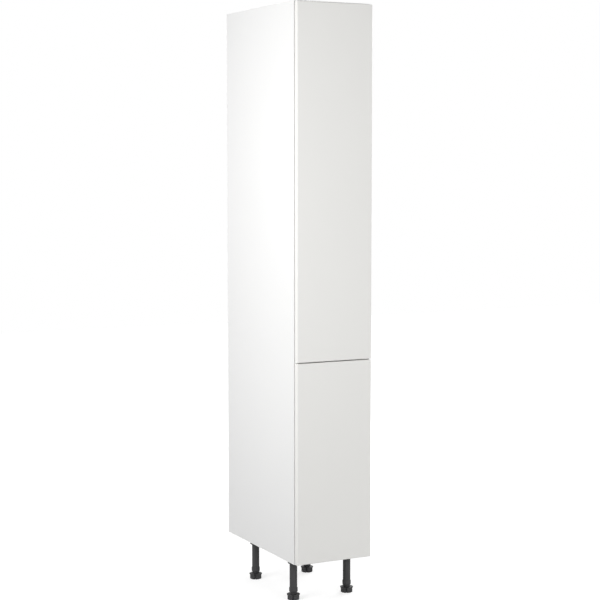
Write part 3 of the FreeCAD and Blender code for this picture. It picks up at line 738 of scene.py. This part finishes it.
class LARDER_OT_runners(bpy.types.Operator):
    """Finish the runners, and make the pressed cages with their rows of balls"""

    bl_idname = "larder.runners"
    bl_label = "Runners"

    def execute(self, context):
        for name in SIDES:
            nodes = [f"runner_{part}_{name}" for part in ("angle", "outer", "middle", "inner")]
            dress(zinc_plate(), *nodes)
            for race in ("outer", "inner"):
                self.cage(race, name)
        return {"FINISHED"}

    def ball(self, radius):
        """A half circle turned round Z, of few faces because there are hundreds of balls."""
        half_turn = np.linspace(-math.pi / 2, math.pi / 2, 7)
        profile = np.stack([np.cos(half_turn), np.sin(half_turn)], -1) * radius
        return turned(profile, columns=10)

    def cage(self, race, name):
        """A thin channel in the cage solid's box, extruded along Y from a section across it. Its flanges
        run through the centres of the balls, which stand at even steps along both of them."""
        sizes = settings("cages")
        sheet, radius = sizes.sheet, sizes.ball_radius
        node = f"ball_cage_{race}_{name}"
        low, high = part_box(node)
        outer, inner, inward = (low.x, high.x, sheet) if SIDES[name] < 0 else (high.x, low.x, -sheet)
        lower_row, upper_row = low.z + radius, high.z - radius
        under, over = lower_row - sheet / 2, upper_row + sheet / 2
        section = [
            (outer, under),
            (inner, under),
            (inner, under + sheet),
            (outer + inward, under + sheet),
            (outer + inward, over - sheet),
            (inner, over - sheet),
            (inner, over),
            (outer, over),
        ]
        lower_flange, web, upper_flange = (0, 1, 2, 3), (0, 3, 4, 7), (7, 4, 5, 6)
        channel = extruded(section, low.y, high.y, [lower_flange, web, upper_flange])
        run = high.y - low.y - 2 * radius
        count = int(run // sizes.ball_pitch)
        along = low.y + radius + run * (np.arange(count) + 0.5) / count
        centres = [((low.x + high.x) / 2, y, z) for z in (lower_row, upper_row) for y in along]
        cage = joined(channel, repeated(self.ball(radius), centres))
        piece(f"cage_{race}_{name}", cage, zinc_plate(), node_body(node), [node])


class LARDER_OT_guide(bpy.types.Operator):
    """Finish the top guide channel and the axles, and make the rollers"""

    bl_idname = "larder.guide"
    bl_label = "Top guide"

    def execute(self, context):
        dress(zinc_plate(), "top_guide_rail", "roller_axles")
        nylon = moulded("nylon", settings("colours").nylon, roughness=0.4)
        for row in ROWS:
            node = f"guide_roller_{row}"
            piece(f"roller_{row}", self.roller(node), nylon, node_body(node), [node])
        return {"FINISHED"}

    def roller(self, node):
        """A rim, a hub round the axle's bore, and between them a web that is dished on both sides. On the
        web stand ribs, whose share of their full height is four times the cosine of the angle times
        their number, less three, cut off at zero."""
        sizes = settings("rollers")
        low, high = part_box(node)
        axle_low, axle_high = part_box("roller_axles")
        radius, half = (high.x - low.x) / 2, (high.z - low.z) / 2
        bore = (axle_high.x - axle_low.x) / 2
        hub, rim = (bore + part * (radius - bore) for part in (sizes.hub, sizes.rim))
        dish = sizes.dish * half
        web = half - dish
        over = [(bore, half), (hub, half), (hub, web), (rim, web), (rim, half), (radius, half)]
        under = [(r, -z) for r, z in reversed(over)]
        profile = rounded([(bore, 0), *over, *under, (bore, 0)], sizes.rounding)
        points, faces = turned(profile, columns=72)
        clear = 0.1 * MM
        reach = np.hypot(points[:, 0], points[:, 1])
        angle = np.arctan2(points[:, 1], points[:, 0])
        webbed = (reach > hub + clear) & (reach < rim - clear)
        rib = np.clip(4 * np.cos(sizes.ribs * angle) - 3, 0, 1) * sizes.rib_height * dish
        points[:, 2] += np.where(webbed, np.sign(points[:, 2]) * rib, 0)
        return points + np.array(middle(node)), faces


class LARDER_OT_trays(bpy.types.Operator):
    """Finish the tray galleries, boards and carriers, and make the ribbed mats"""

    bl_idname = "larder.trays"
    bl_label = "Trays"

    def execute(self, context):
        colours = settings("colours")
        chrome = plated("chrome_plate", colours.chrome, roughness=0.14, drawn=(1, 1, 0.2))
        rubber = dusty_rubber("mat_rubber", colours.mat)
        for rail in sorted(node for node in frame["nodes"] if node.startswith("tray_rail")):
            level = rail[-1]
            board, mat = f"tray_base_{level}", f"tray_mat_{level}"
            dress(chrome, rail)
            dress(faced_board(f"faced_{board}", board, "Z"), board)
            piece(f"mat_{level}", self.mat(mat), rubber, node_body(mat), [mat])
        dress(moulded("carrier_nylon", colours.carrier, roughness=0.45), "tray_carriers")
        return {"FINISHED"}

    def mat(self, node):
        """A sheet whose section across X is a row of round ribs: the height falls from the top by the
        rib depth times the square of the cosine. Each point of the section runs along Y between the
        two ends of the mat, which its corners shorten at 45 degrees."""
        sizes = settings("mats")
        points_a_rib = 8
        low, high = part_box(node)
        centre = (low + high) / 2
        half_width, half_length = (high.x - low.x) / 2, (high.y - low.y) / 2
        ribs = round((high.x - low.x) / sizes.rib_pitch)
        across = np.linspace(-half_width, half_width, ribs * points_a_rib + 1)
        top = high.z - sizes.rib_depth * np.cos(math.pi * ribs * (across / half_width + 1) / 2) ** 2
        under = np.full_like(top, low.z)
        reach = half_length - np.clip(np.abs(across) - (half_width - sizes.corner), 0, None)
        ring = [(reach, top), (reach, under), (-reach, under), (-reach, top)]
        points = np.stack([np.stack([centre.x + across, centre.y + y, z], -1) for y, z in ring], 1)
        last = 4 * (len(across) - 1)
        caps = [(0, 1, 2, 3), (last + 3, last + 2, last + 1, last)]
        return points.reshape(-1, 3), np.concatenate([grid_faces(len(across), 4), caps])


class LARDER_OT_screws(bpy.types.Operator):
    """Make the screw heads in plates, runners, brackets and carriers"""

    bl_idname = "larder.screws"
    bl_label = "Screws"

    def execute(self, context):
        sizes = settings("screws")
        self.leg_screws(sizes)
        self.angle_screws(sizes)
        self.guide_screws(sizes)
        self.bracket_screws(sizes)
        self.carrier_screws(sizes)
        return {"FINISHED"}

    def head(self, sizes, height):
        """A domed head whose height falls with the square of the radius, with a cross recess cut where
        either coordinate across the head is under half the recess width. Its rings lie at shares of the
        radius, two of them closely on either side of the recess's reach, and the last two close it below."""
        rings = np.array([0, 0.14, 0.28, 0.42, 0.54, 0.6, 0.75, 0.9, 1, 1, 0])
        heights = height * (1 - sizes.dome * rings**2)
        heights[-2:] = 0
        points, faces = turned(np.stack([sizes.radius * rings, heights], -1), columns=32)
        x, y, z = points.T
        crossed = np.minimum(np.abs(x), np.abs(y)) < sizes.recess_width / 2
        inside = np.hypot(x, y) < sizes.recess_reach * sizes.radius
        points[:, 2] -= np.where(crossed & inside & (z > 0), sizes.recess_depth * height, 0)
        return points, faces

    def heads(self, name, head, places, outward, body, slot):
        """One piece of a head at each of these places, turned to face outward."""
        turn = np.array(Vector((0, 0, 1)).rotation_difference(Vector(outward)).to_matrix())
        piece(name, repeated(head, places, turn), zinc_plate(), body)

    def leg_screws(self, sizes):
        """Four in each socket's plate, halfway between the cup and the plate's sides."""
        legs = settings("legs")
        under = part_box("base_panel")[0].z - legs.plate_thickness
        plate_reach = legs.plate_radius * math.cos(TAU / 2 / legs.plate_sides)
        ring = (legs.socket_radius + plate_reach) / 2
        places = []
        for row in ROWS:
            for name in SIDES:
                axis = middle(f"leg_foot_{row}_{name}")
                for quarter in range(4):
                    angle = TAU * (quarter + 0.5) / 4
                    places.append((axis.x + ring * math.cos(angle), axis.y + ring * math.sin(angle), under))
        head = self.head(sizes, sizes.pan_height)
        self.heads("leg_screws", head, places, (0, 0, -1), "carcass", "galvanised")

    def angle_screws(self, sizes):
        """Four along each angle, into the base panel."""
        head = self.head(sizes, sizes.pan_height)
        for name, side in SIDES.items():
            low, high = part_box(f"runner_angle_{name}")
            outer, inner = (low.x, high.x) if side < 0 else (high.x, low.x)
            x = outer + (inner - outer) * sizes.angle_across
            along = four_along(low.y, high.y, first=0.08, last=0.92)
            places = [(x, y, low.z + sizes.sheet) for y in along]
            self.heads(f"angle_screws_{name}", head, places, (0, 0, 1), "carcass", "galvanised")

    def guide_screws(self, sizes):
        """Four along the guide channel, into the top panel."""
        low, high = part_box("top_guide_rail")
        along = four_along(low.y, high.y, first=0.06, last=0.93)
        places = [(0, y, high.z - sizes.sheet) for y in along]
        head = self.head(sizes, sizes.pan_height)
        self.heads("guide_screws", head, places, (0, 0, -1), "carcass", "galvanised")

    def bracket_screws(self, sizes):
        """Four in each bracket's plate, into the front, and two in each of its ears, into the post."""
        half_height = sizes.bracket_height / 2
        rise = half_height - sizes.bracket_inset
        plate_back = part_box("lower_door")[1].y + sizes.sheet
        ear_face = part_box("front_post")[1].x + sizes.sheet
        plates, ears = [], {name: [] for name in SIDES}
        for node, count in (("door_brackets_lower", 2), ("door_brackets_upper", 3)):
            low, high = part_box(node)
            across = high.x - sizes.bracket_inset
            ear_y = (plate_back + high.y) / 2 + sizes.ear_shift
            for middle_z in np.linspace(low.z + half_height, high.z - half_height, count):
                levels = (middle_z - rise, middle_z + rise)
                plates += [(x, plate_back, z) for x in (-across, across) for z in levels]
                for name, side in SIDES.items():
                    ears[name] += [(side * ear_face, ear_y, z) for z in levels]
        head = self.head(sizes, sizes.pan_height)
        self.heads("bracket_screws", head, plates, (0, 1, 0), "pull_out", "zinc_bracket")
        for name, side in SIDES.items():
            self.heads(f"ear_screws_{name}", head, ears[name], (side, 0, 0), "pull_out", "zinc_bracket")

    def carrier_screws(self, sizes):
        """Two in each tray carrier's plate, into its post."""
        head = self.head(sizes, sizes.flush_height)
        boards = sorted(node for node in frame["nodes"] if node.startswith("tray_base"))
        for row, outward in (("front", 1), ("rear", -1)):
            low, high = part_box(f"{row}_post")
            face = (high.y if outward > 0 else low.y) + outward * sizes.sheet
            places = []
            for board in boards:
                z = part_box(board)[0].z + sizes.carrier_rise
                places += [(x, face, z) for x in (-sizes.carrier_across, sizes.carrier_across)]
            name = f"carrier_screws_{row}"
            self.heads(name, head, places, (0, outward, 0), "pull_out", "zinc_bracket")


class LARDER_OT_stage(bpy.types.Operator):
    """Set up the camera, the lamps, the floor and the white background"""

    bl_idname = "larder.stage"
    bl_label = "Stage"

    def execute(self, context):
        light = settings("light")
        self.camera(context.scene)
        self.floor(light.floor_glow)
        self.background(context.scene, light.ambient)
        self.lamp("key", light.key_power, place=(-1.95, -0.6, 1.7), size=1.2)
        self.lamp("fill", light.fill_power, place=(0.9, -4.6, 1.4), size=2.6)
        self.lamp("back", light.back_power, place=(3.0, 2.2, 3.2), size=2.6)
        context.scene.view_settings.view_transform = "Standard"
        return {"FINISHED"}

    def camera(self, scene):
        """The camera that fits the edges of the unit in the photograph."""
        place = (-2.530, -4.993, 1.539)
        yaw, pitch = math.radians(26.97), math.radians(4.865)
        focal_pixels, photograph_pixels = 1526, 600
        level = math.cos(pitch)
        forward = Vector((math.sin(yaw) * level, math.cos(yaw) * level, -math.sin(pitch)))
        data = bpy.data.cameras.new("camera")
        data.sensor_width = 36
        data.lens = data.sensor_width * focal_pixels / photograph_pixels
        made = added("camera", data)
        made.location = place
        made.rotation_euler = forward.to_track_quat("-Z", "Y").to_euler()
        scene.camera = made

    def lamp(self, name, watts, place, size):
        """A square lamp that faces the middle of the unit, its place and size in metres."""
        data = bpy.data.lights.new(name, "AREA")
        data.size = size
        data.energy = watts
        made = added(name, data)
        made.location = place
        made.visible_camera = False
        low, high = CAD_BOX
        made.rotation_euler = ((low + high) / 2 - made.location).to_track_quat("-Z", "Y").to_euler()

    def floor(self, near_glow):
        """A wide diffuse floor. The camera sees it glow besides, up to plain white outside the object's
        shadow. The glow rises to white between two distances from the unit, because the lamps reach
        less there."""
        reach, grey = 9, 0.42
        near, far = 1.2, 3.2
        corners = [(-reach, -reach, 0), (reach, -reach, 0), (reach, reach, 0), (-reach, reach, 0)]
        mesh = bpy.data.meshes.new("floor")
        mesh.from_pydata(corners, [], [(0, 1, 2, 3)])
        finish = Finish("floor", (grey,) * 3, 0.9, **{"Emission Strength": 1})
        distance = finish.add("ShaderNodeVectorMath", {"operation": "LENGTH"}, {0: finish.place}, "Value")
        away = finish.add("ShaderNodeMapRange", {}, {"Value": distance, "From Min": near, "From Max": far})
        glow = finish.mix(away, (near_glow,) * 3, (1, 1, 1))
        seen_glow = finish.mix(finish.seen_directly(), (0, 0, 0), glow)
        mesh.materials.append(finish.feed(Emission_Color=seen_glow))
        made = added("floor", mesh)

    def background(self, scene, strength):
        """White where the camera, a reflection or glass sees it, and plain ambient light elsewhere."""
        scene.world = bpy.data.worlds.new("studio")
        scene.world.use_nodes = True
        graph = Graph(scene.world.node_tree)
        ambient = graph.tree.nodes["Background"]
        ambient.inputs["Color"].default_value = (1, 1, 1, 1)
        ambient.inputs["Strength"].default_value = strength
        white = graph.add("ShaderNodeBackground", {}, {"Color": (1, 1, 1, 1), "Strength": 1})
        parts = {0: graph.seen_directly(), 1: Term(graph, ambient.outputs[0]), 2: white}
        shown = graph.add("ShaderNodeMixShader", {}, parts)
        graph.tree.links.new(shown.socket, graph.tree.nodes["World Output"].inputs["Surface"])


OPERATORS = (
    LARDER_OT_stage,
    LARDER_OT_carcass,
    LARDER_OT_fronts,
    LARDER_OT_legs,
    LARDER_OT_frame,
    LARDER_OT_runners,
    LARDER_OT_guide,
    LARDER_OT_trays,
    LARDER_OT_screws,
)


class LARDER_PT_panel(bpy.types.Panel):
    """The larder unit's pieces"""

    bl_idname = "LARDER_PT_panel"
    bl_label = "Larder unit"
    bl_space_type = "VIEW_3D"
    bl_region_type = "UI"
    bl_category = "Larder"

    def draw(self, context):
        for operator in OPERATORS:
            self.layout.operator(operator.bl_idname)


GROUPS = {
    "larder_legs": LarderLegSizes,
    "larder_cages": LarderCageSizes,
    "larder_rollers": LarderRollerSizes,
    "larder_mats": LarderMatSizes,
    "larder_screws": LarderScrewSizes,
    "larder_colours": LarderColours,
    "larder_light": LarderLight,
}
CLASSES = (*GROUPS.values(), *OPERATORS, LARDER_PT_panel)


def register():
    for each in CLASSES:
        bpy.utils.register_class(each)
    for name, group in GROUPS.items():
        setattr(bpy.types.Scene, name, PointerProperty(type=group))


def unregister():
    for name in GROUPS:
        delattr(bpy.types.Scene, name)
    for each in reversed(CLASSES):
        bpy.utils.unregister_class(each)


def main():
    register()
    for operator in OPERATORS:
        family, name = operator.bl_idname.split(".")
        getattr(getattr(bpy.ops, family), name)()
    bpy.context.view_layer.update()


if __name__ == "__main__":
    main()
